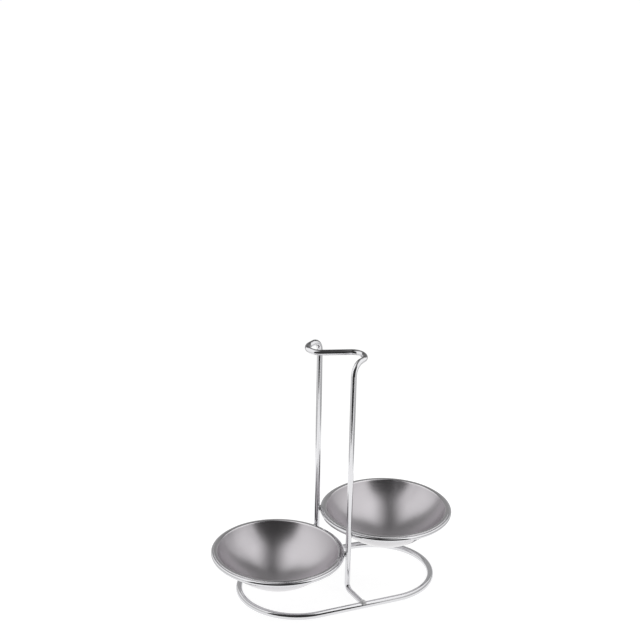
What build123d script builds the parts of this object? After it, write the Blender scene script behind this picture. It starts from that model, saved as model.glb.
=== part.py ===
"""Double ladle rest: bowls that lift out of a welded wire stand with a tall hooked handle.

Millimetres. The origin is the centre of the base loop, on the table. +X runs along the
rails to the right-hand bowl, +Y goes to the rear and +Z goes up. The handle and the rings
are set out in the handle's own frame, which stands behind the base's centre, turned a little.
"""

import os
from math import asin, cos, degrees, radians, sin, sqrt

from build123d import *

# Base loop: one round wire bent to two straight rails with half-round ends.
base_wire = 6.0
rail_length = 78.0
rail_spacing = 102.0

# Handle hoop: one round wire, from the front rail over the hooks to the rear rail.
handle_wire = 5.0
handle_middle = (1.0, 11.0)
handle_turn = 4.0
foot_spacing = 60.0
shoulder_spacing = 63.0
bar_height = 223.0
right_hook = (31.8, -13.8)
left_hook = (-34.4, 13.9)
foot_bend = 6.0
shoulder_bend = 10.5
hook_bend = 10.8

# Bowl rings, at the height of their wire above the table.
ring_wire = 4.0
ring_diameter = 120.0
left_ring_height = 38.0
right_ring_height = 56.0

# Bowls: spun steel dishes with a flat lip, loose in their rings.
bowl_wall = 0.8
bowl_depth = 33.0  # outside, below the lip
lip_width = 2.4
lip_bend = 1.0
lip_edge = 0.35

# Welds and clearances.
weld_gap = 0.3
ring_weld_length = 4.4
ring_weld_width = 5.0
foot_weld_length = 6.4
foot_weld_width = 6.8
lip_clearance = 0.3
bowl_clearance = 0.9

# Places worked out from the sizes above.
foot_height = base_wire / 2
turn = radians(handle_turn)
handle_plane = Plane(origin=(*handle_middle, 0), x_dir=(cos(turn), sin(turn), 0), z_dir=(0, 0, 1))


def foot_end(side):
    """Distance along the handle's Y to a foot's cut end, just short of its rail.

    side is -1 at the front rail and 1 at the rear rail.
    """
    rail_face = side * (rail_spacing / 2 - base_wire / 2 - weld_gap)
    return (rail_face - handle_middle[1]) / cos(turn)


def upright_offset(height):
    """Distance of each upright's centre line from the handle's middle, at a height."""
    rise = (height - foot_height) / (bar_height - foot_height)
    return (foot_spacing + (shoulder_spacing - foot_spacing) * rise) / 2


def ring_offset(height):
    """Distance of a ring's centre from the handle's middle: it just misses both uprights."""
    reach = ring_diameter / 2 + weld_gap + handle_wire / 2
    return sqrt(reach**2 - upright_offset(height) ** 2)


left_ring_plane = Plane(
    handle_plane.from_local_coords((-ring_offset(left_ring_height), 0, left_ring_height)),
    x_dir=handle_plane.x_dir,
)
right_ring_plane = Plane(
    handle_plane.from_local_coords((ring_offset(right_ring_height), 0, right_ring_height)),
    x_dir=handle_plane.x_dir,
)

pieces = {}

# Base loop
with BuildPart() as base_loop:
    with BuildLine(Plane.XY.offset(foot_height)) as loop_path:
        Line((-rail_length / 2, -rail_spacing / 2), (rail_length / 2, -rail_spacing / 2))
        JernArc(loop_path.line @ 1, loop_path.line % 1, rail_spacing / 2, 180)
        Line(loop_path.line @ 1, (-rail_length / 2, rail_spacing / 2))
        JernArc(loop_path.line @ 1, loop_path.line % 1, rail_spacing / 2, 180)
    with BuildSketch(Plane(loop_path.line @ 0, z_dir=loop_path.line % 0)):
        Circle(base_wire / 2)
    sweep()
pieces["base_loop"] = base_loop

# Handle hoop: foot, upright, right hook, bar, left hook, upright and foot in one wire.
with BuildPart() as handle_hoop:
    with BuildLine(handle_plane) as hoop_path:
        FilletPolyline(
            (0, foot_end(-1), foot_height),
            (0, -foot_spacing / 2, foot_height),
            (0, -shoulder_spacing / 2, bar_height),
            (*right_hook, bar_height),
            (*left_hook, bar_height),
            (0, shoulder_spacing / 2, bar_height),
            (0, foot_spacing / 2, foot_height),
            (0, foot_end(1), foot_height),
            radius=[foot_bend, shoulder_bend, hook_bend, hook_bend, shoulder_bend, foot_bend],
        )
    with BuildSketch(Plane(hoop_path.line @ 0, z_dir=hoop_path.line % 0)):
        Circle(handle_wire / 2)
    sweep()
pieces["handle_hoop"] = handle_hoop


def build_ring(plane):
    """A closed round wire ring around a plane's origin."""
    with BuildPart() as ring:
        with BuildSketch(Plane(plane.origin, x_dir=plane.x_dir, z_dir=-plane.y_dir)):
            with Locations(((ring_diameter - ring_wire) / 2, 0)):
                Circle(ring_wire / 2)
        revolve(axis=Axis(plane.origin, plane.z_dir))
    return ring


def build_bowl(plane):
    """A spherical dish whose flat lip lies just over the ring wire around the plane's origin.

    The dish's outside passes the ring's inside by bowl_clearance where it meets the lip.
    """
    lip_bottom = ring_wire / 2 + lip_clearance
    lip_top = lip_bottom + bowl_wall
    neck_radius = ring_diameter / 2 - ring_wire - bowl_clearance
    lip_radius = neck_radius + lip_width
    outer_radius = (neck_radius**2 + bowl_depth**2) / (2 * bowl_depth)
    inner_radius = outer_radius - bowl_wall
    centre_height = lip_bottom - bowl_depth + outer_radius
    inner_sweep = 90 - degrees(asin((centre_height - lip_top) / inner_radius))
    outer_sweep = 90 - degrees(asin((centre_height - lip_bottom) / outer_radius))
    with BuildPart() as bowl:
        with BuildSketch(Plane(plane.origin, x_dir=plane.x_dir, z_dir=-plane.y_dir)) as profile:
            with BuildLine():
                inside = CenterArc((0, centre_height), inner_radius, -90, inner_sweep)
                outside = CenterArc((0, centre_height), outer_radius, -90, outer_sweep)
                Line(inside @ 0, outside @ 0)
                Polyline(inside @ 1, (lip_radius, lip_top), (lip_radius, lip_bottom), outside @ 1)
            make_face()
            lip_corners = profile.vertices().group_by(Axis.X)[-1]
            fillet(lip_corners, min(lip_edge, 0.45 * bowl_wall))
            fillet(profile.vertices().sort_by_distance(inside @ 1)[0], lip_bend + bowl_wall)
            fillet(profile.vertices().sort_by_distance(outside @ 1)[0], lip_bend)
        revolve(axis=Axis(plane.origin, plane.z_dir))
    return bowl


def build_weld(spot, along, half_length, half_width, joined):
    """An egg of weld metal about a line through the spot, cut back to the wires it joins."""
    across = along.cross(Vector(0, 0, 1)).normalized()
    with BuildPart() as weld:
        with BuildSketch(Plane(spot, x_dir=along, z_dir=-across)):
            Ellipse(half_length, half_width)
            split(bisect_by=Plane.XZ)
        revolve(axis=Axis(spot, along))
        for wire in joined:
            add(wire.part, mode=Mode.SUBTRACT)
    return weld


def build_ring_weld(plane, ring, side):
    """The weld where a ring passes an upright, -1 in front and 1 behind."""
    height = plane.origin.Z
    upright = handle_plane.from_local_coords((0, side * upright_offset(height), height))
    outward = (upright - plane.origin).normalized()
    spot = plane.origin + outward * (ring_diameter + weld_gap) / 2
    return build_weld(spot, outward, ring_weld_length / 2, ring_weld_width / 2, [ring, handle_hoop])


def build_foot_weld(side):
    """The weld round a foot's end on its rail, -1 in front and 1 behind."""
    middle = weld_gap + foot_weld_width / 2
    spot = handle_plane.from_local_coords((0, foot_end(side), middle))
    outward = handle_plane.y_dir * side
    return build_weld(spot, outward, foot_weld_length / 2, foot_weld_width / 2, [base_loop, handle_hoop])


for name, plane in (("left", left_ring_plane), ("right", right_ring_plane)):
    ring = build_ring(plane)
    pieces[f"{name}_ring"] = ring
    pieces[f"{name}_bowl"] = build_bowl(plane)
    pieces[f"{name}_ring_front_weld"] = build_ring_weld(plane, ring, -1)
    pieces[f"{name}_ring_rear_weld"] = build_ring_weld(plane, ring, 1)

pieces["front_foot_weld"] = build_foot_weld(-1)
pieces["rear_foot_weld"] = build_foot_weld(1)

os.makedirs("parts", exist_ok=True)
for name, piece in pieces.items():
    piece.part.label = name
    export_step(piece.part, f"parts/{name}.step")
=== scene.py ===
"""Looks for the double ladle rest: polished wire, weld beads, brushed bowls and a white studio.

Every length is in metres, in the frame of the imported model: the origin is the centre of the
base loop on the table, +X runs along the rails, +Y to the rear and +Z up.
"""

import logging
import math
from dataclasses import dataclass, field
from enum import Enum
from functools import cached_property

import bpy
import numpy as np
from mathutils import Matrix, Vector


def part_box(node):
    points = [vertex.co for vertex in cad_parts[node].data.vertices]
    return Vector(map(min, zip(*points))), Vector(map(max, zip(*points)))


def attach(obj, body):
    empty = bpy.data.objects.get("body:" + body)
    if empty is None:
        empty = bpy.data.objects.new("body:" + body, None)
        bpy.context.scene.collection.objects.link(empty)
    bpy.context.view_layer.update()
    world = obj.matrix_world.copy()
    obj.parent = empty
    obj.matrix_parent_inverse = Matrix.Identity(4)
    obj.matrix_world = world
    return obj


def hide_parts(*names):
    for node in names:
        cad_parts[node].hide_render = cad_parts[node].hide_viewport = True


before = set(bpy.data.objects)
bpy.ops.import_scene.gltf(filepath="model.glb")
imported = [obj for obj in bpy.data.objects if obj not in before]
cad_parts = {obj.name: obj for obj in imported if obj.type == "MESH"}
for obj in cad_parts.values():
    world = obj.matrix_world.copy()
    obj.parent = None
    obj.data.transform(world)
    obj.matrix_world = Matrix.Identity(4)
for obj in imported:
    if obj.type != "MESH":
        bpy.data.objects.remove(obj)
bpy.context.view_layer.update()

LOG = logging.getLogger("ladle_rest")
STAND = "stand"
MILLIMETRE = 0.001
FULL_TURN = 2 * math.pi
WHITE = (1.0, 1.0, 1.0, 1.0)

Triple = tuple[float, float, float]
Socket = bpy.types.NodeSocket


class Side(Enum):
    """The two sides of the rest; the value is the side's word in the names of CAD nodes."""

    LEFT = "left"
    RIGHT = "right"


class End(Enum):
    """The two ends of the handle; the value is the end's sign along the handle's Y."""

    FRONT = -1
    REAR = 1

    @property
    def word(self) -> str:
        """The end's word in the names of CAD nodes."""
        return self.name.lower()


class Slot(Enum):
    """The record's material slots."""

    WIRE = "polished_wire"
    WELD = "weld_steel"
    BOWL = "bowl_steel"


class Tone(Enum):
    """Plain reflectances of the steel, as linear colours."""

    WIRE = (0.757, 0.755, 0.772)
    # Near-white tone of the feet's welds: a painted reflection of the bright surroundings.
    CLEAN_WELD = (0.93, 0.925, 0.93)
    # Dark tone of the rings' welds: painted shade of the crevice round each joint.
    STAINED_WELD = (0.42, 0.415, 0.425)
    BRUSHED = (0.566, 0.543, 0.564)
    LIP = (0.667, 0.655, 0.670)

    def times(self, share: float) -> Triple:
        """Returns the colour with its channels multiplied by a share."""
        return tuple(channel * share for channel in self.value)


def unit(vector: np.ndarray) -> np.ndarray:
    """Returns the vector scaled to length one."""
    return vector / np.linalg.norm(vector)


def linked(name: str, data: bpy.types.ID) -> bpy.types.Object:
    """Makes an object of a mesh or a camera, unturned at the origin and in the scene.

    Args:
        name: The object's name.
        data: The mesh or the camera.

    Returns:
        The object.
    """
    thing = bpy.data.objects.new(name, data)
    bpy.context.scene.collection.objects.link(thing)
    return thing


# Meshes


@dataclass
class Patch:
    """Vertices, faces and corner UVs of a surface worked out on a grid.

    Attributes:
        points: Vertex positions, one row each.
        quads: Four vertex numbers a row.
        quad_uvs: A UV pair for each corner of each quad.
        quad_slots: A material number for each quad.
        fans: Three vertex numbers a row, for the triangles round a pole.
        fan_uvs: A UV pair for each corner of each triangle.
        fan_slots: A material number for each triangle.
    """

    points: np.ndarray
    quads: np.ndarray
    quad_uvs: np.ndarray
    quad_slots: np.ndarray
    fans: np.ndarray
    fan_uvs: np.ndarray
    fan_slots: np.ndarray

    def mesh_object(self, name: str, materials: list[bpy.types.Material]) -> bpy.types.Object:
        """Makes the patch a smooth-shaded mesh object at the origin.

        Args:
            name: The object's name.
            materials: The materials that the slot numbers stand for.

        Returns:
            The object, linked to the scene.
        """
        mesh = bpy.data.meshes.new(name)
        faces = self.quads.tolist() + self.fans.tolist()
        mesh.from_pydata(self.points.tolist(), [], faces)
        layer = mesh.uv_layers.new(name="UVMap")
        corners = np.concatenate([self.quad_uvs.reshape(-1, 2), self.fan_uvs.reshape(-1, 2)])
        layer.data.foreach_set("uv", corners.astype(np.float32).ravel())
        slots = np.concatenate([self.quad_slots, self.fan_slots]).astype(np.int32)
        mesh.polygons.foreach_set("material_index", slots)
        mesh.polygons.foreach_set("use_smooth", np.ones(len(faces), bool))
        mesh.validate()
        mesh.update()
        for material in materials:
            mesh.materials.append(material)
        return linked(name, mesh)


def pole_fans(
    rows: int, columns: int, along: np.ndarray, around: np.ndarray
) -> tuple[np.ndarray, np.ndarray]:
    """Joins a grid's first and last rows each to a pole, numbered after the grid's points.

    A corner at a pole takes the middle of its two neighbours' values round the turn.

    Args:
        rows: The number of the grid's rows.
        columns: The number of its columns.
        along: The UV value of each row.
        around: The UV value of each column, with one more for the closing column.

    Returns:
        Three vertex numbers for each triangle, and a UV pair for each of its corners.
    """
    column = np.arange(columns)
    following = (column + 1) % columns
    last = (rows - 1) * columns
    first_pole = np.full(columns, rows * columns)
    first_fan = np.stack([first_pole, column, following], axis=-1)
    last_fan = np.stack([last + column, first_pole + 1, last + following], axis=-1)
    here, there = around[:-1], around[1:]
    middle = (here + there) / 2
    first_u = np.stack([middle, here, there], axis=-1)
    last_u = np.stack([here, middle, there], axis=-1)
    first_uv = np.stack([first_u, np.full_like(first_u, along[0])], axis=-1)
    last_uv = np.stack([last_u, np.full_like(last_u, along[rows - 1])], axis=-1)
    return np.concatenate([first_fan, last_fan]), np.concatenate([first_uv, last_uv])


def lattice(
    grid: np.ndarray,
    along: np.ndarray,
    closed_along: bool = False,
    poles: tuple[np.ndarray, ...] = (),
    row_slots: np.ndarray | None = None,
) -> Patch:
    """Joins a grid of points, closed round its second direction, into a patch.

    Quad (i, j) takes the points (i, j), (i+1, j), (i+1, j+1) and (i, j+1), so that its face
    looks along the first direction crossed with the second. The UVs are the share of the turn
    round the second direction, from 0 to 1, and a given value for each row.

    Args:
        grid: Points of shape (rows, columns, 3).
        along: The UV value of each row, with one more at the end if closed_along.
        closed_along: Joins the last row back to the first.
        poles: Nothing, or the point before the first row and the point after the last.
        row_slots: The material number of each band between two rows.

    Returns:
        The patch.
    """
    rows, columns = grid.shape[:2]
    bands = rows if closed_along else rows - 1
    around = np.linspace(0, 1, columns + 1)
    row, column = np.meshgrid(np.arange(bands), np.arange(columns), indexing="ij")
    next_row, next_column = (row + 1) % rows, (column + 1) % columns
    quads = np.stack(
        [
            row * columns + column,
            next_row * columns + column,
            next_row * columns + next_column,
            row * columns + next_column,
        ],
        axis=-1,
    )
    u = np.stack([around[column], around[column], around[column + 1], around[column + 1]], axis=-1)
    v = np.stack([along[row], along[row + 1], along[row + 1], along[row]], axis=-1)
    slots = np.zeros(bands, int) if row_slots is None else row_slots
    points = grid.reshape(-1, 3)
    fans, fan_uvs, fan_slots = np.zeros((0, 3), int), np.zeros((0, 3, 2)), np.zeros(0, int)
    if poles:
        fans, fan_uvs = pole_fans(rows, columns, along, around)
        fan_slots = np.repeat([slots[0], slots[-1]], columns)
        points = np.concatenate([points, np.stack(poles)])
    return Patch(
        points=points,
        quads=quads.reshape(-1, 4),
        quad_uvs=np.stack([u, v], axis=-1).reshape(-1, 4, 2),
        quad_slots=np.repeat(slots, columns),
        fans=fans,
        fan_uvs=fan_uvs,
        fan_slots=fan_slots,
    )


def turned(vector: np.ndarray, axis: np.ndarray, angle: np.ndarray) -> np.ndarray:
    """Returns a vector turned about a unit axis by each angle of a column."""
    along = axis * (axis @ vector)
    return along + (vector - along) * np.cos(angle) + np.cross(axis, vector) * np.sin(angle)


def travelled(points: np.ndarray) -> np.ndarray:
    """Returns the distance along a row of points from its first point to each of them."""
    steps = np.linalg.norm(np.diff(points, axis=0), axis=1)
    return np.concatenate([[0.0], np.cumsum(steps)])


@dataclass
class WirePath:
    """The centre line of a bent wire: straight runs joined by round bends.

    Attributes:
        corners: The points where the straight runs would meet, with the wire's two ends.
        bends: The radius of the bend at each inner corner.
        step: The turn between two stations on a bend.
        fewest: The number of steps that the slightest bend still has.
        nearest: Stations closer together than this are one.
    """

    corners: np.ndarray
    bends: list[float]
    step: float
    fewest: int = 4
    nearest: float = 0.001 * MILLIMETRE

    def stations(self) -> tuple[np.ndarray, np.ndarray, np.ndarray]:
        """Works out the stations along the wire and a cross frame at each.

        At a bend the wire's direction and its cross frame turn together about the bend's axis,
        by the formula for turning a vector about a unit axis, so the frame never twists. Where
        two bends meet with no straight run between them, their shared station is kept once.

        Returns:
            The places, and two unit vectors across the wire at each place.
        """
        direction = unit(self.corners[1] - self.corners[0])
        spare = np.eye(3)[np.argmin(np.abs(direction))]
        across = unit(np.cross(direction, spare))
        up = np.cross(direction, across)
        places, firsts, seconds = [self.corners[:1]], [across[None]], [up[None]]
        for corner, following, radius in zip(self.corners[1:-1], self.corners[2:], self.bends):
            leaving = unit(following - corner)
            turn = math.acos(float(np.clip(direction @ leaving, -1, 1)))
            axis = unit(np.cross(direction, leaving))
            inward = np.cross(axis, direction)
            start = corner - direction * radius * math.tan(turn / 2)
            count = max(self.fewest, math.ceil(turn / self.step))
            angle = np.linspace(0, turn, count + 1)[:, None]
            centre = start + inward * radius
            places.append(centre + radius * (direction * np.sin(angle) - inward * np.cos(angle)))
            firsts.append(turned(across, axis, angle))
            seconds.append(turned(up, axis, angle))
            direction, across, up = leaving, firsts[-1][-1], seconds[-1][-1]
        places.append(self.corners[-1:])
        firsts.append(across[None])
        seconds.append(up[None])
        stations = np.concatenate(places)
        apart = np.linalg.norm(np.diff(stations, axis=0), axis=1) > self.nearest
        kept = np.concatenate([[True], apart])
        return stations[kept], np.concatenate(firsts)[kept], np.concatenate(seconds)[kept]


def wire_patch(
    path: WirePath,
    radius: float,
    columns: int,
    closed: bool = False,
    edge: float = 0.25 * MILLIMETRE,
) -> Patch:
    """Carries a circle along a wire's centre line.

    A point lies at the station plus the radius times (first cos a - second sin a), where a
    goes once round. An open wire ends in flat faces round a pole. Two stations close to each
    cut end keep the wire's side straight up to a small broken edge.

    Args:
        path: The centre line.
        radius: Half of the wire's thickness.
        columns: The number of points round the wire.
        closed: The wire's last station is its first.
        edge: The width of the broken edge round a cut end.

    Returns:
        The wire's surface. Its UVs are turns round the wire and metres along it.
    """
    places, first, second = path.stations()
    if closed:
        places, first, second = places[:-1], first[:-1], second[:-1]
    else:
        inset = edge * np.arange(3.0)[:, None]
        head = places[0] + inset * unit(places[1] - places[0])
        tail = places[-1] + inset[::-1] * unit(places[-2] - places[-1])
        places = np.concatenate([head, places[1:-1], tail])
        first, second = (np.pad(way, ((2, 2), (0, 0)), mode="edge") for way in (first, second))
    reach = np.full(len(places), radius)
    reach[[0, -1]] -= 0.0 if closed else edge
    angle = np.linspace(0, FULL_TURN, columns, endpoint=False)[:, None]
    spokes = first[:, None] * np.cos(angle) - second[:, None] * np.sin(angle)
    grid = places[:, None] + reach[:, None, None] * spokes
    way_round = np.concatenate([places, places[:1]]) if closed else places
    poles = () if closed else (places[0], places[-1])
    return lattice(grid, travelled(way_round), closed, poles)


def torus_patch(centre: np.ndarray, ring: float, wire: float, rows: int, columns: int) -> Patch:
    """Carries a circle of radius wire round a level circle of radius ring.

    Args:
        centre: The ring's centre.
        ring: The radius of the wire's centre line.
        wire: Half of the wire's thickness.
        rows: The number of stations round the ring.
        columns: The number of points round the wire.

    Returns:
        The closed ring. Its UVs are turns round the wire and metres round the ring.
    """
    round_ring = np.linspace(0, FULL_TURN, rows, endpoint=False)[:, None]
    round_wire = np.linspace(0, FULL_TURN, columns, endpoint=False)[None, :]
    reach = ring + wire * np.cos(round_wire)
    height = -wire * np.sin(round_wire) * np.ones_like(round_ring)
    grid = np.stack([reach * np.cos(round_ring), reach * np.sin(round_ring), height], axis=-1)
    return lattice(grid + centre, np.linspace(0, FULL_TURN * ring, rows + 1), True)


def arc(
    centre: tuple[float, float], radius: float, start: float, end: float, count: int
) -> np.ndarray:
    """Returns points on an arc in a plane, from one angle to another, both included."""
    angle = np.linspace(start, end, count)
    return np.array(centre) + radius * np.stack([np.cos(angle), np.sin(angle)], axis=-1)


# Finishes


@dataclass
class ShaderSheet:
    """A material, or the world, and short calls that add nodes to it.

    Attributes:
        material: The material or the world.
        nodes: Its nodes.
        links: The links between them.
    """

    material: bpy.types.Material | bpy.types.World
    nodes: bpy.types.Nodes = field(init=False)
    links: bpy.types.NodeLinks = field(init=False)

    def __post_init__(self) -> None:
        """Turns the material's nodes on and keeps them at hand."""
        self.material.use_nodes = True
        self.nodes = self.material.node_tree.nodes
        self.links = self.material.node_tree.links

    @property
    def surface(self) -> bpy.types.Node:
        """The material's Principled shader."""
        return self.nodes["Principled BSDF"]

    @property
    def output(self) -> bpy.types.Node:
        """The material's output."""
        return self.nodes["Material Output"]

    @cached_property
    def place(self) -> bpy.types.NodeOutputs:
        """The place on the piece, by Object coordinates or by UVs."""
        return self.add("ShaderNodeTexCoord").outputs

    def add(self, kind: str, **values: object) -> bpy.types.Node:
        """Adds a node and sets its own values by name.

        Args:
            kind: The node's Blender type.
            **values: The values, by the names of the node's properties.

        Returns:
            The node.
        """
        node = self.nodes.new(kind)
        for key, value in values.items():
            setattr(node, key, value)
        return node

    def noise(self, vector: Socket, scale: float, detail: float) -> Socket:
        """Adds noise over a vector.

        Args:
            vector: The place on the piece.
            scale: How many lumps there are to one unit of the vector.
            detail: How many finer layers lie on them.

        Returns:
            The noise, from 0 to 1.
        """
        node = self.add("ShaderNodeTexNoise")
        node.inputs["Scale"].default_value = scale
        node.inputs["Detail"].default_value = detail
        self.links.new(vector, node.inputs["Vector"])
        return node.outputs["Fac"]

    def grain(self, scale: Triple, detail: float) -> Socket:
        """Adds noise drawn out over the piece's UVs.

        Args:
            scale: How many lumps there are to one unit of each UV value.
            detail: How many finer layers lie on them.

        Returns:
            The noise, from 0 to 1.
        """
        node = self.add("ShaderNodeMapping")
        node.inputs["Scale"].default_value = scale
        self.links.new(self.place["UV"], node.inputs["Vector"])
        return self.noise(node.outputs["Vector"], 1.0, detail)

    def reckoned(self, operation: str, first: Socket, *numbers: float) -> Socket:
        """Adds a sum on one socket and plain numbers.

        Args:
            operation: The sum's Blender name.
            first: The socket.
            *numbers: The numbers that follow it.

        Returns:
            The result.
        """
        node = self.add("ShaderNodeMath", operation=operation)
        self.links.new(first, node.inputs[0])
        for socket, number in zip(node.inputs[1:], numbers):
            socket.default_value = number
        return node.outputs["Value"]

    def joined(self, operation: str, first: Socket, second: Socket) -> Socket:
        """Adds a sum on two sockets.

        Args:
            operation: The sum's Blender name.
            first: The first socket.
            second: The second socket.

        Returns:
            The result.
        """
        node = self.add("ShaderNodeMath", operation=operation)
        self.links.new(first, node.inputs[0])
        self.links.new(second, node.inputs[1])
        return node.outputs["Value"]

    def background_rays(self) -> Socket:
        """Tells the rays that see the background from those that light the piece.

        Returns:
            1 for the rays of the camera and of mirroring and clear surfaces, 0 for all others.
        """
        rays = self.add("ShaderNodeLightPath").outputs
        direct = self.joined("MAXIMUM", rays["Is Camera Ray"], rays["Is Glossy Ray"])
        return self.joined("MAXIMUM", direct, rays["Is Transmission Ray"])

    def ranged(
        self,
        factor: Socket,
        low: float,
        high: float,
        start: float = 0.3,
        end: float = 0.7,
        eased: bool = False,
    ) -> Socket:
        """Maps a factor's span from start to end onto low to high, and holds it outside.

        Args:
            factor: The factor.
            low: The result up to start.
            high: The result from end on.
            start: Where the change starts; noise seldom falls below the default.
            end: Where it ends; noise seldom rises above the default.
            eased: The change starts and ends gently.

        Returns:
            The result.
        """
        node = self.add(
            "ShaderNodeMapRange", interpolation_type="SMOOTHSTEP" if eased else "LINEAR"
        )
        self.links.new(factor, node.inputs["Value"])
        values = {"From Min": start, "From Max": end, "To Min": low, "To Max": high}
        for socket, value in values.items():
            node.inputs[socket].default_value = value
        return node.outputs["Result"]

    def blend(self, factor: Socket, low: Triple, high: Triple) -> Socket:
        """Mixes two colours.

        Args:
            factor: The share of the second colour.
            low: The first colour.
            high: The second colour.

        Returns:
            The mixed colour.
        """
        node = self.add("ShaderNodeMix", data_type="RGBA")
        self.links.new(factor, node.inputs["Factor"])
        node.inputs["A"].default_value = (*low, 1.0)
        node.inputs["B"].default_value = (*high, 1.0)
        return node.outputs["Result"]

    def dress(
        self, tint: Socket, roughness: Socket, height: Socket, depth: float, bare: float = 1.0
    ) -> None:
        """Feeds the shader of a metal surface.

        Args:
            tint: The colour.
            roughness: The roughness.
            height: The relief, in units of depth.
            depth: The depth of the relief.
            bare: The share of the skin that is bare metal.
        """
        self.links.new(tint, self.surface.inputs["Base Color"])
        self.links.new(roughness, self.surface.inputs["Roughness"])
        self.surface.inputs["Metallic"].default_value = bare
        relief = self.add("ShaderNodeBump")
        relief.inputs["Distance"].default_value = depth
        relief.inputs["Strength"].default_value = 1.0
        self.links.new(height, relief.inputs["Height"])
        self.links.new(relief.outputs["Normal"], self.surface.inputs["Normal"])


@dataclass(frozen=True)
class PolishedWire:
    """Drawn wire polished bright, with faint die lines along it.

    Attributes:
        name: The material's name.
        tone: Its colour.
        shade: The share of that colour in its darkest patches.
        dull: The roughness of its dullest patches.
        bright: The roughness of its brightest patches.
        patch_scale: Patches of polish to a metre.
        patch_detail: Finer layers in the patches.
        line_scale: Die lines to a turn round the wire, and changes to a metre along it.
        line_detail: Finer layers in the lines.
        line_depth: The depth of the lines.
    """

    name: str = "polished_wire"
    tone: Tone = Tone.WIRE
    shade: float = 0.94
    dull: float = 0.13
    bright: float = 0.06
    patch_scale: float = 140.0
    patch_detail: float = 3.0
    line_scale: Triple = (26.0, 12.0, 1.0)
    line_detail: float = 1.0
    line_depth: float = 0.003 * MILLIMETRE

    def material(self) -> bpy.types.Material:
        """Builds the finish: patchy polish in space, die lines along the wire's own UVs.

        Returns:
            The material.
        """
        sheet = ShaderSheet(bpy.data.materials.new(self.name))
        patches = sheet.noise(sheet.place["Object"], self.patch_scale, self.patch_detail)
        lines = sheet.grain(self.line_scale, self.line_detail)
        tint = sheet.blend(patches, self.tone.times(self.shade), self.tone.value)
        roughness = sheet.ranged(patches, self.bright, self.dull)
        sheet.dress(tint, roughness, lines, self.line_depth)
        return sheet.material


@dataclass(frozen=True)
class WeldMetal:
    """Weld metal, left a little lumpy and duller than the wire.

    Attributes:
        name: The material's name.
        tone: Its colour.
        shade: The share of that colour in its darkest stains.
        dull: The roughness in its darkest stains.
        bright: The roughness between the stains.
        stain_scale: Stains to a metre.
        stain_detail: Finer layers in the stains.
        lump_scale: Lumps to a metre.
        lump_detail: Finer layers in the lumps.
        lump_depth: The depth of the lumps.
        bare: The share of its skin that is bare metal; the rest is plain matte colour.
    """

    name: str
    tone: Tone
    shade: float = 0.88
    dull: float = 0.34
    bright: float = 0.16
    stain_scale: float = 420.0
    stain_detail: float = 2.0
    lump_scale: float = 900.0
    lump_detail: float = 3.0
    lump_depth: float = 0.25 * MILLIMETRE
    bare: float = 1.0

    def material(self) -> bpy.types.Material:
        """Builds the finish from noise at the size of the solidified ripples.

        Returns:
            The material.
        """
        sheet = ShaderSheet(bpy.data.materials.new(self.name))
        lumps = sheet.noise(sheet.place["Object"], self.lump_scale, self.lump_detail)
        stains = sheet.noise(sheet.place["Object"], self.stain_scale, self.stain_detail)
        tint = sheet.blend(stains, self.tone.times(self.shade), self.tone.value)
        roughness = sheet.ranged(stains, self.dull, self.bright)
        sheet.dress(tint, roughness, lumps, self.lump_depth, self.bare)
        return sheet.material


@dataclass(frozen=True)
class CircularBrushing:
    """Sheet steel brushed in circles about the bowl's axis.

    Attributes:
        name: The material's name.
        tone: Its colour.
        shade: The share of that colour in the grooves.
        gleam: The share of it between them.
        rough: The roughness where the brushing is coarsest.
        smooth: The roughness where it is finest.
        groove_scale: Breaks in a groove to a turn, and grooves to a metre up the wall.
        groove_detail: Finer layers in the grooves.
        groove_depth: The depth of a groove.
        band_scale: Changes in a band to a turn, and coarse and fine bands to a metre.
        band_detail: Finer layers in the bands.
        stretch: How far the highlight spreads across the grooves, from 0 to 1.
        stretch_turn: The way it spreads, as a share of a turn from the grooves' tangent.
    """

    name: str = "circular_brushing"
    tone: Tone = Tone.BRUSHED
    shade: float = 0.94
    gleam: float = 1.04
    rough: float = 0.31
    smooth: float = 0.28
    groove_scale: Triple = (5.0, 5200.0, 1.0)
    groove_detail: float = 3.0
    groove_depth: float = 0.002 * MILLIMETRE
    band_scale: Triple = (2.0, 900.0, 1.0)
    band_detail: float = 2.0
    stretch: float = 0.4
    stretch_turn: float = 0.25

    def material(self) -> bpy.types.Material:
        """Builds the finish on the bowl's UVs: turns about the axis, metres up the wall.

        Returns:
            The material.
        """
        sheet = ShaderSheet(bpy.data.materials.new(self.name))
        grooves = sheet.grain(self.groove_scale, self.groove_detail)
        bands = sheet.grain(self.band_scale, self.band_detail)
        tint = sheet.blend(grooves, self.tone.times(self.shade), self.tone.times(self.gleam))
        roughness = sheet.ranged(bands, self.smooth, self.rough)
        sheet.dress(tint, roughness, grooves, self.groove_depth)
        sheet.surface.inputs["Anisotropic"].default_value = self.stretch
        sheet.surface.inputs["Anisotropic Rotation"].default_value = self.stretch_turn
        tangent = sheet.add("ShaderNodeTangent", direction_type="UV_MAP", uv_map="UVMap")
        sheet.links.new(tangent.outputs["Tangent"], sheet.surface.inputs["Tangent"])
        return sheet.material


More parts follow.
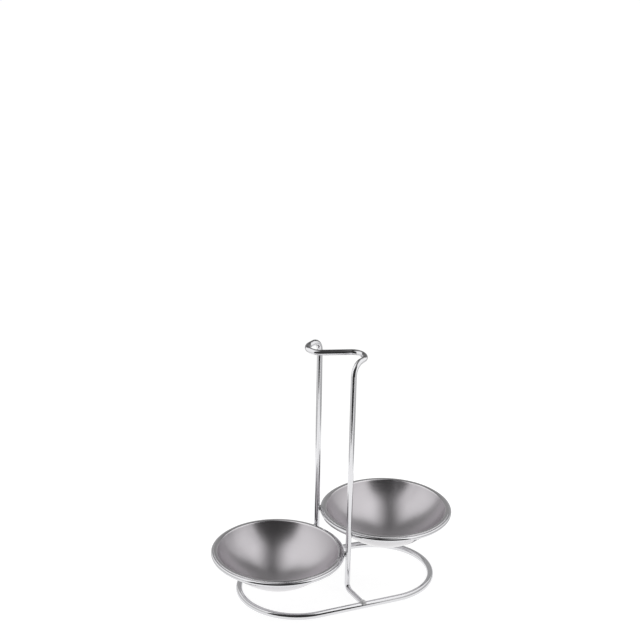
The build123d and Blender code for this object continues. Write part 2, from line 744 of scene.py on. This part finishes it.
@dataclass(frozen=True)
class PolishedSheet:
    """The bowl's lip and outside: polished steel with faint rings from the polishing wheel.

    Attributes:
        name: The material's name.
        tone: Its colour.
        shade: The share of that colour in its darkest patches.
        dull: The roughness of its dullest patches.
        bright: The roughness of its brightest patches.
        patch_scale: Patches of polish to a metre.
        patch_detail: Finer layers in the patches.
        ring_scale: Breaks in a ring to a turn, and rings to a metre up the wall.
        ring_detail: Finer layers in the rings.
        ring_depth: The depth of a ring.
    """

    name: str = "polished_sheet"
    tone: Tone = Tone.LIP
    shade: float = 0.93
    dull: float = 0.17
    bright: float = 0.09
    patch_scale: float = 60.0
    patch_detail: float = 3.0
    ring_scale: Triple = (3.0, 2600.0, 1.0)
    ring_detail: float = 2.0
    ring_depth: float = 0.003 * MILLIMETRE

    def material(self) -> bpy.types.Material:
        """Builds the finish from rings on the bowl's UVs and patches in space.

        Returns:
            The material.
        """
        sheet = ShaderSheet(bpy.data.materials.new(self.name))
        rings = sheet.grain(self.ring_scale, self.ring_detail)
        patches = sheet.noise(sheet.place["Object"], self.patch_scale, self.patch_detail)
        tint = sheet.blend(patches, self.tone.times(self.shade), self.tone.value)
        roughness = sheet.ranged(patches, self.bright, self.dull)
        sheet.dress(tint, roughness, rings, self.ring_depth)
        return sheet.material


@dataclass(frozen=True)
class Finishes:
    """The finished materials that the pieces share.

    Attributes:
        wire: The stand's wires.
        clean_weld: The feet's welds, with a near-white, mostly matte skin: a painted reflection of
            the bright surroundings.
        stained_weld: The rings' welds, darkened: painted shade of the crevice round each joint.
        brushed: The bowls' insides.
        sheet: The bowls' lips and outsides.
    """

    wire: bpy.types.Material
    clean_weld: bpy.types.Material
    stained_weld: bpy.types.Material
    brushed: bpy.types.Material
    sheet: bpy.types.Material

    @classmethod
    def build(cls) -> "Finishes":
        """Builds each finish once.

        Returns:
            The finishes.
        """
        # The feet's welds get a near-white, mostly matte skin that paints the bright reflection
        # they show.
        clean_weld = WeldMetal(
            "clean_weld",
            Tone.CLEAN_WELD,
            dull=0.55,
            bright=0.4,
            lump_depth=0.1 * MILLIMETRE,
            bare=0.3,
        )
        return cls(
            wire=PolishedWire().material(),
            clean_weld=clean_weld.material(),
            # The rings' welds are darkened to paint the shade of the crevice round each joint.
            stained_weld=WeldMetal("stained_weld", Tone.STAINED_WELD).material(),
            brushed=CircularBrushing().material(),
            sheet=PolishedSheet().material(),
        )


def fit_piece(piece: bpy.types.Object, body: str, node: str) -> bpy.types.Object:
    """Lets a piece stand for a CAD node and ride on its body.

    Args:
        piece: The finished piece.
        body: The CAD body that it moves with.
        node: The CAD node that it replaces.

    Returns:
        The piece.
    """
    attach(piece, body)
    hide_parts(node)
    LOG.info("%s: %d faces, on %s", piece.name, len(piece.data.polygons), body)
    return piece


# The stand


@dataclass
class BaseLoop:
    """The closed loop that stands on the table: two rails and two half-round ends.

    Attributes:
        finishes: The shared materials.
        columns: The number of points round the wire.
        step: The turn between two stations on a half-round end.
        wire: The wire's thickness.
        rail_spacing: From one rail's centre line to the other's.
        rail_length: The length of a rail between the ends.
    """

    finishes: Finishes
    columns: int = 32
    step: float = math.radians(2.0)
    wire: float = field(init=False)
    rail_spacing: float = field(init=False)
    rail_length: float = field(init=False)

    def __post_init__(self) -> None:
        """Reads the loop's sizes from its CAD box."""
        low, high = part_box("base_loop")
        self.wire = high.z - low.z
        self.rail_spacing = high.y - low.y - self.wire
        self.rail_length = high.x - low.x - (high.y - low.y)

    def build(self) -> bpy.types.Object:
        """Bends the loop as a path with four quarter-turn corners.

        Returns:
            The loop's object.
        """
        half_x = (self.rail_length + self.rail_spacing) / 2
        half_y = self.rail_spacing / 2
        height = self.wire / 2
        corners = [
            (0, -half_y, height),
            (half_x, -half_y, height),
            (half_x, half_y, height),
            (-half_x, half_y, height),
            (-half_x, -half_y, height),
            (0, -half_y, height),
        ]
        path = WirePath(np.array(corners), [half_y] * 4, self.step)
        patch = wire_patch(path, self.wire / 2, self.columns, closed=True)
        piece = patch.mesh_object("base_loop_wire", [self.finishes.wire])
        return fit_piece(piece, STAND, "base_loop")


@dataclass
class HandleHoop:
    """The handle: feet, uprights, two hooks and the bar between them, bent from one wire.

    The corners are set out in the handle's own frame, which stands at middle, turned by turn.

    Attributes:
        finishes: The shared materials.
        wire: The wire's thickness.
        middle: The place of the handle's frame.
        turn: The turn of the handle's frame.
        foot_spacing: From one upright to the other at the feet.
        shoulder_spacing: From one upright to the other at the bar's height.
        right_hook: The corner of the right hook, in the handle's frame.
        left_hook: The corner of the left hook, in the handle's frame.
        foot_bend: The bend from a foot to its upright.
        shoulder_bend: The bend from an upright to its hook.
        hook_bend: The bend from a hook to the bar.
        columns: The number of points round the wire.
        step: The turn between two stations on a bend.
        foot_height: The height of the feet's centre line.
        bar_height: The height of the bar's centre line.
    """

    finishes: Finishes
    wire: float = 5.0 * MILLIMETRE
    middle: tuple[float, float] = (1.0 * MILLIMETRE, 11.0 * MILLIMETRE)
    turn: float = math.radians(4.0)
    foot_spacing: float = 60.0 * MILLIMETRE
    shoulder_spacing: float = 63.0 * MILLIMETRE
    right_hook: tuple[float, float] = (31.8 * MILLIMETRE, -13.8 * MILLIMETRE)
    left_hook: tuple[float, float] = (-34.4 * MILLIMETRE, 13.9 * MILLIMETRE)
    foot_bend: float = 6.0 * MILLIMETRE
    shoulder_bend: float = 10.5 * MILLIMETRE
    hook_bend: float = 10.8 * MILLIMETRE
    columns: int = 28
    step: float = math.radians(3.0)
    foot_height: float = field(init=False)
    bar_height: float = field(init=False)

    def __post_init__(self) -> None:
        """Reads the heights of the feet and of the bar from the CAD box."""
        low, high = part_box("handle_hoop")
        self.foot_height = low.z + self.wire / 2
        self.bar_height = high.z - self.wire / 2

    def placed(self, x: float, y: float, z: float) -> np.ndarray:
        """Places a point of the handle's frame in the model's frame.

        Args:
            x: To the handle's right.
            y: To its rear.
            z: Up.

        Returns:
            The point.
        """
        cosine, sine = math.cos(self.turn), math.sin(self.turn)
        right, rear = cosine * x - sine * y, sine * x + cosine * y
        return np.array([self.middle[0] + right, self.middle[1] + rear, z])

    def upright(self, height: float, end: End) -> np.ndarray:
        """Finds the centre of an upright, which leans a little on its way up.

        Args:
            height: The height to find it at.
            end: The handle's end.

        Returns:
            The point.
        """
        rise = (height - self.foot_height) / (self.bar_height - self.foot_height)
        spacing = self.foot_spacing + (self.shoulder_spacing - self.foot_spacing) * rise
        return self.placed(0, end.value * spacing / 2, height)

    def foot_end(self, end: End) -> np.ndarray:
        """Finds the cut end of a foot: as far along its run as the CAD hoop reaches.

        Args:
            end: The handle's end.

        Returns:
            The point.
        """
        low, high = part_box("handle_hoop")
        rim = self.wire / 2 * math.sin(self.turn)
        edge = low.y + rim if end is End.FRONT else high.y - rim
        return self.placed(0, (edge - self.middle[1]) / math.cos(self.turn), self.foot_height)

    def build(self) -> bpy.types.Object:
        """Bends the wire through its corners, from the front foot to the rear foot.

        Returns:
            The handle's object.
        """
        corners = [
            self.foot_end(End.FRONT),
            self.upright(self.foot_height, End.FRONT),
            self.upright(self.bar_height, End.FRONT),
            self.placed(*self.right_hook, self.bar_height),
            self.placed(*self.left_hook, self.bar_height),
            self.upright(self.bar_height, End.REAR),
            self.upright(self.foot_height, End.REAR),
            self.foot_end(End.REAR),
        ]
        bends = [self.foot_bend, self.shoulder_bend, self.hook_bend]
        path = WirePath(np.array(corners), bends + bends[::-1], self.step)
        patch = wire_patch(path, self.wire / 2, self.columns)
        piece = patch.mesh_object("handle_hoop_wire", [self.finishes.wire])
        return fit_piece(piece, STAND, "handle_hoop")


@dataclass
class BowlRing:
    """A closed wire ring that carries one bowl.

    Attributes:
        side: The side of the rest that it is on.
        finishes: The shared materials.
        rows: The number of stations round the ring.
        columns: The number of points round the wire.
        centre: The ring's centre.
        radius: The radius of the wire's centre line.
        wire: The wire's thickness.
    """

    side: Side
    finishes: Finishes
    rows: int = 180
    columns: int = 28
    centre: np.ndarray = field(init=False)
    radius: float = field(init=False)
    wire: float = field(init=False)

    def __post_init__(self) -> None:
        """Reads the ring's place and sizes from its CAD box."""
        low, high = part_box(self.node)
        self.centre = np.array((low + high) / 2)
        self.wire = high.z - low.z
        self.radius = (high.x - low.x - self.wire) / 2

    @property
    def node(self) -> str:
        """The ring's CAD node."""
        return f"{self.side.value}_ring"

    def build(self) -> bpy.types.Object:
        """Builds the ring's wire.

        Returns:
            The ring's object.
        """
        patch = torus_patch(self.centre, self.radius, self.wire / 2, self.rows, self.columns)
        piece = patch.mesh_object(f"{self.node}_wire", [self.finishes.wire])
        return fit_piece(piece, STAND, self.node)


@dataclass
class WeldBead:
    """A bead of weld metal: an egg about the line between two wires, slightly lumpy.

    Attributes:
        node: The CAD node that it stands for.
        finish: The bead's material.
        spot: The middle of the joint.
        along: The line from one wire to the other.
        half_length: Half of the bead's size along that line.
        half_width: Half of its size across it.
        seed: The start of the bead's own random lumps.
        lumps: How far its longest wave swells and sinks, as a share of the bead's size.
        waves: The number of its waves.
        rows: The number of rows between its poles.
        columns: The number of points round a row.
    """

    node: str
    finish: bpy.types.Material
    spot: np.ndarray
    along: np.ndarray
    half_length: float
    half_width: float
    seed: int
    lumps: float = 0.035
    waves: int = 4
    rows: int = 24
    columns: int = 40

    def build(self) -> bpy.types.Object:
        """Builds the bead.

        A point lies at the spot plus the line times half_length cos t, plus a spoke times
        half_width sin t, both swollen by a few low waves in the two angles.

        Returns:
            The bead's object.
        """
        line = unit(self.along)
        side = unit(np.cross(line, (0.0, 0.0, 1.0)))
        rise = np.cross(side, line)
        tilt = np.linspace(0, math.pi, self.rows + 2)[1:-1, None]
        spin = np.linspace(0, FULL_TURN, self.columns, endpoint=False)[None, :]
        chance = np.random.default_rng(self.seed)
        swell = np.ones((self.rows, self.columns))
        for wave in range(1, self.waves + 1):
            phase, offset = chance.uniform(0, FULL_TURN, 2)
            swell += self.lumps / wave * np.cos(wave * spin + phase) * np.sin(wave * tilt + offset)
        spoke = side * np.cos(spin)[..., None] + rise * np.sin(spin)[..., None]
        length = (self.half_length * np.cos(tilt) * swell)[..., None] * line
        width = (self.half_width * np.sin(tilt) * swell)[..., None] * spoke
        grid = (self.spot + length + width)[:, ::-1]
        poles = (self.spot + line * self.half_length, self.spot - line * self.half_length)
        travel = np.linspace(0, math.pi * self.half_length, self.rows)
        piece = lattice(grid, travel, poles=poles).mesh_object(f"{self.node}_bead", [self.finish])
        return fit_piece(piece, STAND, self.node)


@dataclass
class Welds:
    """Every weld of the stand: each foot on its rail and each ring on both uprights.

    Attributes:
        handle: The handle that the feet belong to.
        rings: The bowl rings.
        finishes: The shared materials.
        ring_weld_length: A ring weld's size from wire to wire.
        foot_weld_length: A foot weld's size along its foot.
        foot_weld_shift: How far a foot weld has run along its rail, outwards over it, and up.
    """

    handle: HandleHoop
    rings: list[BowlRing]
    finishes: Finishes
    ring_weld_length: float = 4.4 * MILLIMETRE
    foot_weld_length: float = 6.4 * MILLIMETRE
    foot_weld_shift: Triple = (1.4 * MILLIMETRE, 2.9 * MILLIMETRE, 0.9 * MILLIMETRE)

    def foot_bead(self, end: End, seed: int) -> WeldBead:
        """Sets out the bead of a foot on its rail, as thick as its CAD node is high.

        Args:
            end: The handle's end.
            seed: The start of the bead's random lumps.

        Returns:
            The bead.
        """
        node = f"{end.word}_foot_weld"
        low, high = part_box(node)
        outward = self.handle.placed(0, end.value, 0) - self.handle.placed(0, 0, 0)
        along, beyond, above = self.foot_weld_shift
        spot = self.handle.foot_end(end) + unit(outward) * beyond
        spot[0] += end.value * along
        spot[2] = (low.z + high.z) / 2 + above
        sizes = (self.foot_weld_length / 2, (high.z - low.z) / 2)
        # The foot bead takes the near-white finish, a painted reflection of the bright
        # surroundings.
        return WeldBead(node, self.finishes.clean_weld, spot, outward, *sizes, seed)

    def ring_bead(self, ring: BowlRing, end: End, seed: int) -> WeldBead:
        """Sets out the bead of a ring on an upright, as thick as its CAD node is high.

        Args:
            ring: The ring.
            end: The handle's end that the upright is at.
            seed: The start of the bead's random lumps.

        Returns:
            The bead.
        """
        node = f"{ring.node}_{end.word}_weld"
        low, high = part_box(node)
        outward = self.handle.upright(ring.centre[2], end) - ring.centre
        gap = np.linalg.norm(outward) - ring.radius - ring.wire / 2 - self.handle.wire / 2
        spot = ring.centre + unit(outward) * (ring.radius + (ring.wire + gap) / 2)
        sizes = (self.ring_weld_length / 2, (high.z - low.z) / 2)
        # The ring bead takes the darkened finish, painted shade of the crevice round the joint.
        return WeldBead(node, self.finishes.stained_weld, spot, outward, *sizes, seed)

    def build(self) -> list[bpy.types.Object]:
        """Builds the beads, at each end the foot's and then the rings'.

        Returns:
            The beads' objects.
        """
        beads: list[WeldBead] = []
        for end in End:
            beads.append(self.foot_bead(end, len(beads)))
            for ring in self.rings:
                beads.append(self.ring_bead(ring, end, len(beads)))
        return [bead.build() for bead in beads]


# The bowls


class BowlZone(Enum):
    """The two finishes of a bowl; the value is the number of its material slot."""

    BRUSHED = 0
    POLISHED = 1


@dataclass
class Bowl:
    """A spun dish: a brushed spherical inside, a flat polished lip and a polished outside.

    Attributes:
        side: The side of the rest that it is on.
        finishes: The shared materials.
        wall: The thickness of the sheet.
        lip_width: The width of the lip outside its bend.
        lip_bend: The radius of the bend's underside.
        lip_edge: The radius of the lip's rounded edge.
        columns: The number of points round the bowl.
        wall_points: The number of points up each face of the wall.
        bend_points: The number of points over each face of the bend.
        edge_points: The number of points over each half of the edge.
        pole_gap: The angle that each face leaves open round its pole.
        centre: The middle of the bowl's box.
        lip_radius: The radius of the lip's edge.
        lip_top: The height of the lip's upper face.
        bottom: The height of the bowl's lowest point.
    """

    side: Side
    finishes: Finishes
    wall: float = 0.8 * MILLIMETRE
    lip_width: float = 2.4 * MILLIMETRE
    lip_bend: float = 1.0 * MILLIMETRE
    lip_edge: float = 0.35 * MILLIMETRE
    columns: int = 240
    wall_points: int = 60
    bend_points: int = 10
    edge_points: int = 6
    pole_gap: float = math.radians(0.25)
    centre: np.ndarray = field(init=False)
    lip_radius: float = field(init=False)
    lip_top: float = field(init=False)
    bottom: float = field(init=False)

    def __post_init__(self) -> None:
        """Reads the bowl's place and sizes from its CAD box."""
        low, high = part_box(self.node)
        self.centre = np.array((low + high) / 2)
        self.lip_radius = (high.y - low.y) / 2
        self.lip_top = high.z
        self.bottom = low.z

    @property
    def node(self) -> str:
        """The bowl's CAD node, which is also the name of its body."""
        return f"{self.side.value}_bowl"

    def profile(self) -> tuple[np.ndarray, np.ndarray]:
        """Works out the bowl's outline from its inner to its outer pole, both left out.

        The dish's two faces are arcs about one centre. Each is joined to the flat lip by a
        bend that touches both: its centre lies at the bend's radius below the lip's face and
        at the sum of the radii from the dish's centre. The lip's edge is two small arcs.

        Returns:
            Radius and height of each point, and the zone of each band between two points.
        """
        neck = self.lip_radius - self.lip_width
        lip_bottom = self.lip_top - self.wall
        depth = lip_bottom - self.bottom
        outer = (neck**2 + depth**2) / (2 * depth)
        inner = outer - self.wall
        middle = self.bottom + outer
        top_bend = self.lip_bend + self.wall
        bend_height = self.lip_top - top_bend
        bend_reach = math.sqrt((inner + top_bend) ** 2 - (middle - bend_height) ** 2)
        dish, bend = (0, middle), (bend_reach, bend_height)
        meeting = math.atan2(bend_height - middle, bend_reach)
        facing = meeting + math.pi
        pole = -math.pi / 2 + self.pole_gap
        up, out, down = math.pi / 2, 0, -math.pi / 2
        edge = self.lip_radius - self.lip_edge
        edge_above = (edge, self.lip_top - self.lip_edge)
        edge_below = (edge, lip_bottom + self.lip_edge)
        inside = arc(dish, inner, pole, meeting, self.wall_points)
        rows = [
            inside,
            arc(bend, top_bend, facing, up, self.bend_points)[1:],
            arc(edge_above, self.lip_edge, up, out, self.edge_points),
            arc(edge_below, self.lip_edge, out, down, self.edge_points),
            arc(bend, self.lip_bend, up, facing, self.bend_points),
            arc(dish, outer, meeting, pole, self.wall_points)[1:],
        ]
        zones = np.full(sum(len(part) for part in rows) - 1, BowlZone.POLISHED.value)
        zones[: len(inside) - 1] = BowlZone.BRUSHED.value
        return np.concatenate(rows), zones

    def build(self) -> bpy.types.Object:
        """Turns the outline once round the bowl's upright axis.

        A point lies at the axis plus its reach times (cos a, sin a), at its own height.

        Returns:
            The bowl's object.
        """
        outline, zones = self.profile()
        angle = np.linspace(0, FULL_TURN, self.columns, endpoint=False)
        reach, height = outline[:, :1], outline[:, 1:]
        x = self.centre[0] + reach * np.cos(angle)
        y = self.centre[1] + reach * np.sin(angle)
        grid = np.stack([x, y, height * np.ones_like(angle)], axis=-1)
        poles = tuple(np.array([*self.centre[:2], height[end, 0]]) for end in (0, -1))
        patch = lattice(grid, travelled(outline), poles=poles, row_slots=zones)
        piece = patch.mesh_object(f"{self.node}_dish", [self.finishes.brushed, self.finishes.sheet])
        return fit_piece(piece, self.node, self.node)


# The studio


@dataclass
class ProductCamera:
    """A long lens above and in front of the rest, aimed well over it so that it stands low.

    Attributes:
        azimuth: The way the camera looks, from +Y towards +X.
        elevation: How far it looks down.
        roll: How far it leans about its own axis.
        distance: From the lens to the level of the aim.
        aim: The point that the camera was set up on.
        slide: How far it was then moved across its own view, right and up.
        lens: The focal length in Blender's millimetres, on a sensor 36 wide.
        clip: The nearest and the farthest distance that it sees.
    """

    azimuth: float = math.radians(24.256)
    elevation: float = math.radians(22.585)
    roll: float = math.radians(1.220)
    distance: float = 1.8276
    aim: Triple = (0.0, 0.0, 0.040)
    slide: tuple[float, float] = (-0.01464, 0.20094)
    lens: float = 114.184
    clip: tuple[float, float] = (0.05, 50.0)

    def level_axes(self) -> tuple[np.ndarray, np.ndarray]:
        """Returns the directions to the right and away from the camera, both level."""
        sine, cosine = math.sin(self.azimuth), math.cos(self.azimuth)
        return np.array([cosine, -sine, 0.0]), np.array([sine, cosine, 0.0])

    def axes(self) -> tuple[np.ndarray, np.ndarray, np.ndarray]:
        """Works out the directions that the camera stands in.

        Returns:
            Its right, its up and its forward direction.
        """
        level, away = self.level_axes()
        forward = away * math.cos(self.elevation) - np.array([0, 0, math.sin(self.elevation)])
        above = np.cross(level, forward)
        right = level * math.cos(self.roll) + above * math.sin(self.roll)
        up = above * math.cos(self.roll) - level * math.sin(self.roll)
        return right, up, forward

    def build(self) -> bpy.types.Object:
        """Makes the camera and sets it as the scene's.

        Returns:
            The camera's object.
        """
        right, up, forward = self.axes()
        slide = right * self.slide[0] + up * self.slide[1]
        place = np.array(self.aim) - forward * self.distance + slide
        data = bpy.data.cameras.new("product_camera")
        data.lens = self.lens
        data.clip_start, data.clip_end = self.clip
        camera = linked("product_camera", data)
        turn = Matrix(np.stack([right, up, -forward], axis=1).tolist()).to_4x4()
        camera.matrix_world = Matrix.Translation(Vector(place)) @ turn
        bpy.context.scene.camera = camera
        return camera


def flat_sheet(
    name: str, corners: list[np.ndarray], material: bpy.types.Material
) -> bpy.types.Object:
    """Makes a flat sheet of the studio: one face with UVs from 0 to 1.

    Args:
        name: The sheet's name.
        corners: Its four corners, in order.
        material: Its material.

    Returns:
        The sheet's object.
    """
    mesh = bpy.data.meshes.new(name)
    mesh.from_pydata([tuple(corner) for corner in corners], [], [(0, 1, 2, 3)])
    mesh.uv_layers.new(name="UVMap").data.foreach_set("uv", [0, 0, 1, 0, 1, 1, 0, 1])
    mesh.materials.append(material)
    return linked(name, mesh)


@dataclass(frozen=True)
class Glow:
    """The light of a panel, which changes along one of its sides.

    Attributes:
        low: The strength before start.
        high: The strength after end.
        start: Where the change starts, as a share of the panel.
        end: Where it ends.
        folded: The change runs from the panel's middle to both sides, not up the panel.
        gape: How much further from the middle it starts at the panel's front.
        gape_depth: How far up the panel that widening reaches.
        tail: The share of its light that is left at the panel's far end.
        tail_start: Where the light starts to fall off towards that end.
        lean: By what share its right side outshines its left.
    """

    low: float
    high: float
    start: float = 0.0
    end: float = 1.0
    folded: bool = False
    gape: float = 0.0
    gape_depth: float = 1.0
    tail: float = 1.0
    tail_start: float = 0.75
    lean: float = 0.0

    def strength(self, sheet: ShaderSheet) -> Socket:
        """Works out the light's strength over a panel.

        Args:
            sheet: The panel's material.

        Returns:
            The strength.
        """
        parts = sheet.add("ShaderNodeSeparateXYZ")
        sheet.links.new(sheet.place["UV"], parts.inputs["Vector"])
        across, up = parts.outputs["X"], parts.outputs["Y"]
        if not self.folded:
            return sheet.ranged(up, self.low, self.high, self.start, self.end)
        opened = self.opened(sheet, across, up)
        folded = sheet.ranged(opened, self.low, self.high, self.start, self.end)
        trailing = sheet.ranged(up, 1.0, self.tail, self.tail_start, 1.0)
        leaning = sheet.reckoned("MULTIPLY_ADD", across, self.lean, 1.0 - self.lean)
        return sheet.joined("MULTIPLY", sheet.joined("MULTIPLY", folded, trailing), leaning)

    def opened(self, sheet: ShaderSheet, across: Socket, up: Socket) -> Socket:
        """Works out the distance from the panel's middle, less the squared widening in front.

        Args:
            sheet: The panel's material.
            across: The place across the panel, from 0 to 1.
            up: The place up the panel, from 0 to 1.

        Returns:
            The distance, from 0 to 1 where nothing is taken off.
        """
        reach = sheet.reckoned("ABSOLUTE", sheet.reckoned("MULTIPLY_ADD", across, 2.0, -1.0))
        nearness = sheet.reckoned("MULTIPLY_ADD", up, -1.0 / self.gape_depth, 1.0)
        widening = sheet.reckoned("POWER", sheet.reckoned("MAXIMUM", nearness, 0.0), 2.0)
        return sheet.joined("ADD", reach, sheet.reckoned("MULTIPLY", widening, -self.gape))


@dataclass
class Panel:
    """A glowing sheet of the light tent, which the camera itself doesn't see.

    Attributes:
        name: The panel's name.
        corner: Its first corner.
        across: From there along its lower side.
        up: From there up its other side.
        glow: Its light.
    """

    name: str
    corner: np.ndarray
    across: np.ndarray
    up: np.ndarray
    glow: Glow

    def material(self) -> bpy.types.Material:
        """Builds the panel's light from its UVs.

        Returns:
            The material.
        """
        sheet = ShaderSheet(bpy.data.materials.new(self.name))
        sheet.nodes.remove(sheet.surface)
        light = sheet.add("ShaderNodeEmission")
        sheet.links.new(self.glow.strength(sheet), light.inputs["Strength"])
        sheet.links.new(light.outputs["Emission"], sheet.output.inputs["Surface"])
        return sheet.material

    def build(self) -> bpy.types.Object:
        """Makes the panel.

        Returns:
            The panel's object.
        """
        far = self.corner + self.across
        corners = [self.corner, far, far + self.up, self.corner + self.up]
        panel = flat_sheet(self.name, corners, self.material())
        panel.visible_camera = False
        return panel


@dataclass
class LightTent:
    """A small white tent, slit along the middle of its roof, with a dark cloth hung before it.

    Attributes:
        camera: The camera that the tent is lined up with.
        middle: How far the slit lies to the right of the origin.
        half_width: From the slit to either side wall.
        front: How far the roof and the right wall reach towards the camera.
        left_front: How far the left wall does.
        back: How far off the back wall stands.
        height: The height of the roof.
        cloth_distance: How far towards the camera the dark cloth hangs.
        cloth_turn: How far its right side is turned away from the rest.
        cloth_size: Half of the cloth's width, and its height.
        roof: The roof's light.
        left_wall: The left wall's light.
        right_wall: The right wall's light.
        rear: The back wall's light.
        cloth: The dark cloth's light.
    """

    camera: ProductCamera
    middle: float = 0.005
    half_width: float = 0.255
    front: float = 0.24
    left_front: float = 0.22
    back: float = 0.24
    height: float = 0.43
    cloth_distance: float = 0.34
    cloth_turn: float = math.radians(14.0)
    cloth_size: tuple[float, float] = (1.0, 0.9)
    roof: Glow = Glow(
        0.065, 1.28, 0.045, 0.62, folded=True, gape=0.8, gape_depth=0.36, tail=0.7, lean=0.08
    )
    left_wall: Glow = Glow(0.50, 1.12, 0.0, 0.45)
    right_wall: Glow = Glow(0.40, 1.12, 0.05, 0.5)
    rear: Glow = Glow(0.42, 0.10, 0.3, 0.9)
    cloth: Glow = Glow(0.04, 0.04)

    def build(self) -> list[bpy.types.Object]:
        """Builds the roof, the two side walls, the back wall and the dark cloth.

        Returns:
            The panels' objects.
        """
        right, away = self.camera.level_axes()
        upright = np.array([0.0, 0.0, self.height])
        near_left = right * (self.middle - self.half_width) - away * self.front
        left_end = near_left + away * (self.front - self.left_front)
        width = right * 2 * self.half_width
        depth = away * (self.front + self.back)
        left_depth = away * (self.left_front + self.back)
        along = right * math.cos(self.cloth_turn) - away * math.sin(self.cloth_turn)
        hem = -away * self.cloth_distance - along * self.cloth_size[0]
        drop = np.array([0.0, 0.0, self.cloth_size[1]])
        panels = [
            Panel("tent_roof", near_left + upright, width, depth, self.roof),
            Panel("tent_left_wall", left_end, left_depth, upright, self.left_wall),
            Panel("tent_right_wall", near_left + width, depth, upright, self.right_wall),
            Panel("tent_back_wall", near_left + depth, width, upright, self.rear),
            Panel("front_cloth", hem, along * 2 * self.cloth_size[0], drop, self.cloth),
        ]
        return [panel.build() for panel in panels]


@dataclass
class WhiteTable:
    """A white table: pure white to the eye and in reflections, with the rest's faint shadow.

    Attributes:
        half_size: Half of the table's width.
        paint: How much of the tent's light it throws back.
        near_glow: Its own light close to the rest, where the tent's light adds to it.
        reach: The distances from the rest between which its own light rises to white.
    """

    half_size: float = 8.0
    paint: float = 0.25
    near_glow: float = 0.90
    reach: tuple[float, float] = (0.10, 0.24)

    def material(self) -> bpy.types.Material:
        """Builds the table's white from the distance to the rest.

        Returns:
            The material.
        """
        sheet = ShaderSheet(bpy.data.materials.new("white_table"))
        distance = sheet.add("ShaderNodeVectorMath", operation="LENGTH")
        sheet.links.new(sheet.place["Object"], distance.inputs[0])
        white = sheet.ranged(distance.outputs["Value"], self.near_glow, 1.0, *self.reach, True)
        strength = sheet.joined("MULTIPLY", white, sheet.background_rays())
        sheet.links.new(strength, sheet.surface.inputs["Emission Strength"])
        sheet.surface.inputs["Emission Color"].default_value = WHITE
        sheet.surface.inputs["Base Color"].default_value = (self.paint,) * 3 + (1.0,)
        sheet.surface.inputs["Roughness"].default_value = 1.0
        sheet.surface.inputs["Specular IOR Level"].default_value = 0.0
        sheet.material.cycles.emission_sampling = "NONE"
        return sheet.material

    def build(self) -> bpy.types.Object:
        """Makes the table.

        Returns:
            The table's object.
        """
        half = self.half_size
        corners = [(-half, -half, 0), (half, -half, 0), (half, half, 0), (-half, half, 0)]
        table = flat_sheet("table", corners, self.material())
        return table


@dataclass
class Studio:
    """The tent and the table before a plain white background.

    Attributes:
        camera: The camera that the studio is built round.
        room_glow: The strength of the background as a light.
    """

    camera: ProductCamera
    room_glow: float = 0.05

    def build(self) -> None:
        """Builds the studio and sets the plain view transform."""
        LightTent(self.camera).build()
        WhiteTable().build()
        self.room()
        bpy.context.scene.view_settings.view_transform = "Standard"

    def room(self) -> None:
        """Builds the world: white to the eye and in reflections, and dim as a light."""
        world = bpy.data.worlds.new("studio")
        bpy.context.scene.world = world
        sheet = ShaderSheet(world)
        background = sheet.nodes["Background"]
        background.inputs["Color"].default_value = WHITE
        strength = sheet.ranged(sheet.background_rays(), self.room_glow, 1.0, 0.0, 1.0)
        sheet.links.new(strength, background.inputs["Strength"])


def main() -> None:
    """Builds the stand, the bowls and the studio."""
    logging.basicConfig(level=logging.INFO, format="%(name)s: %(message)s")
    finishes = Finishes.build()
    BaseLoop(finishes).build()
    handle = HandleHoop(finishes)
    handle.build()
    rings = [BowlRing(side, finishes) for side in Side]
    for ring in rings:
        ring.build()
    Welds(handle, rings, finishes).build()
    for side in Side:
        Bowl(side, finishes).build()
    camera = ProductCamera()
    camera.build()
    Studio(camera).build()


if __name__ == "__main__":
    main()
